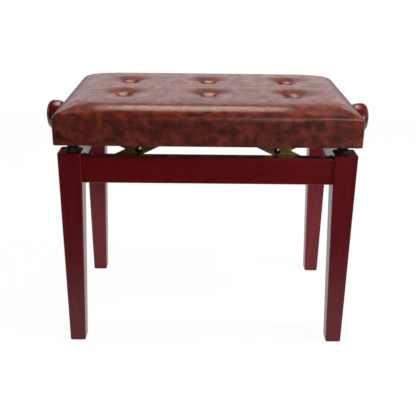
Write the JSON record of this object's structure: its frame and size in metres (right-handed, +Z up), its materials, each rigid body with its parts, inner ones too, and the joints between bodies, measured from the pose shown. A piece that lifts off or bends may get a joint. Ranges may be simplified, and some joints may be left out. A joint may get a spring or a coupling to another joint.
{
  "type": "piano bench",
  "caption": "Height-adjustable piano bench: tapered wooden legs, button-tufted seat, and side knobs on a screw whose folding arms lift the seat.",
  "frame": {"origin": "on the floor, under the middle of the bench", "axes": "+X along the seat to the right of someone facing the front, +Y from front to back, +Z up"},
  "size_m": [0.641, 0.341, 0.482],
  "materials": {
    "mahogany_lacquer": "gloss",
    "seat_box_wood": "matte",
    "plywood": "matte",
    "vinyl": "gloss",
    "foam": "matte",
    "yellow_zinc_steel": "satin",
    "bright_steel": "satin",
    "black_rubber": "matte",
    "nylon": "satin",
    "twine": "matte"
  },
  "bodies": {
    "frame": {"leg_front_left": "mahogany_lacquer", "corner_bracket_front_left": "yellow_zinc_steel", "bumper_front_left": "black_rubber", "leg_front_right": "mahogany_lacquer", "corner_bracket_front_right": "yellow_zinc_steel", "bumper_front_right": "black_rubber", "leg_rear_left": "mahogany_lacquer", "corner_bracket_rear_left": "yellow_zinc_steel", "bumper_rear_left": "black_rubber", "leg_rear_right": "mahogany_lacquer", "corner_bracket_rear_right": "yellow_zinc_steel", "bumper_rear_right": "black_rubber", "leg_bolts": "bright_steel", "leg_bolt_washers": "bright_steel", "leg_bolt_nuts": "bright_steel", "apron_front": "mahogany_lacquer", "apron_rear": "mahogany_lacquer", "apron_left": "mahogany_lacquer", "apron_right": "mahogany_lacquer", "lower_rail_front": "yellow_zinc_steel", "lower_rail_rear": "yellow_zinc_steel", "lower_rail_screws": "yellow_zinc_steel", "lower_pivot_pins": "bright_steel"},
    "left_arms": {"long_arm_left_front": "yellow_zinc_steel", "long_arm_left_rear": "yellow_zinc_steel", "arm_rivets_left": "bright_steel"},
    "left_links": {"short_link_left_front": "yellow_zinc_steel", "short_link_left_rear": "yellow_zinc_steel"},
    "left_nut_bar": {"nut_bar_left": "yellow_zinc_steel", "slide_spacers_left": "bright_steel"},
    "right_arms": {"long_arm_right_front": "yellow_zinc_steel", "long_arm_right_rear": "yellow_zinc_steel", "arm_rivets_right": "bright_steel"},
    "right_links": {"short_link_right_front": "yellow_zinc_steel", "short_link_right_rear": "yellow_zinc_steel"},
    "right_nut_bar": {"nut_bar_right": "yellow_zinc_steel", "slide_spacers_right": "bright_steel"},
    "seat": {"seat_rail_front": "seat_box_wood", "seat_rail_rear": "seat_box_wood", "seat_rail_left": "seat_box_wood", "seat_rail_right": "seat_box_wood", "seat_board": "plywood", "seat_board_screws": "bright_steel", "foam_pad": "foam", "seat_cover": "vinyl", "tuft_buttons": "vinyl", "tuft_ties": "twine", "upper_rail_front": "yellow_zinc_steel", "upper_rail_rear": "yellow_zinc_steel", "upper_rail_screws": "yellow_zinc_steel", "upper_pivot_pins": "bright_steel", "spindle_bush_left": "nylon", "spindle_bush_right": "nylon"},
    "spindle": {"spindle": "bright_steel", "knob_left": "mahogany_lacquer", "knob_right": "mahogany_lacquer", "spindle_collars": "bright_steel"}
  },
  "joints": [
    {"name": "left_arm_pivot", "type": "hinge", "parent": "frame", "child": "left_arms", "pos_m": [-0.18293, 0, 0.365], "axis": [0, -1, 0], "range_deg": [-3.83, 46.12]},
    {"name": "left_link_pivot", "type": "hinge", "parent": "left_arms", "child": "left_links", "pos_m": [-0.12625, 0, 0.3925], "axis": [0, -1, 0], "range_deg": [-92.24, 7.67]},
    {"name": "left_nut_bar_pivot", "type": "hinge", "parent": "left_arms", "child": "left_nut_bar", "pos_m": [-0.06957, 0, 0.42], "axis": [0, -1, 0], "range_deg": [-46.12, 3.84]},
    {"name": "right_arm_pivot", "type": "hinge", "parent": "frame", "child": "right_arms", "pos_m": [0.18293, 0, 0.365], "axis": [0, 1, 0], "range_deg": [-3.84, 46.12]},
    {"name": "right_link_pivot", "type": "hinge", "parent": "right_arms", "child": "right_links", "pos_m": [0.12625, 0, 0.3925], "axis": [0, 1, 0], "range_deg": [-92.24, 7.67]},
    {"name": "right_nut_bar_pivot", "type": "hinge", "parent": "right_arms", "child": "right_nut_bar", "pos_m": [0.06957, 0, 0.42], "axis": [0, 1, 0], "range_deg": [-46.12, 3.84]},
    {"name": "seat_pivot", "type": "hinge", "parent": "left_links", "child": "seat", "pos_m": [-0.18293, 0, 0.42], "axis": [0, -1, 0], "range_deg": [-3.84, 46.12]},
    {"name": "spindle_turn", "type": "hinge", "parent": "seat", "child": "spindle", "pos_m": [0, 0, 0.42], "axis": [1, 0, 0], "range_deg": [-358.19, 4310.26]}
  ],
  "couplings": [
    {"joint": "left_link_pivot", "follows": "left_arm_pivot", "ratio": -2},
    {"joint": "left_nut_bar_pivot", "follows": "left_arm_pivot", "ratio": -1},
    {"joint": "right_arm_pivot", "follows": "left_arm_pivot", "ratio": 1},
    {"joint": "right_link_pivot", "follows": "left_arm_pivot", "ratio": -2},
    {"joint": "right_nut_bar_pivot", "follows": "left_arm_pivot", "ratio": -1},
    {"joint": "seat_pivot", "follows": "left_arm_pivot", "ratio": 1},
    {"joint": "spindle_turn", "follows": "left_arm_pivot", "ratio": 93.46}
  ]
}
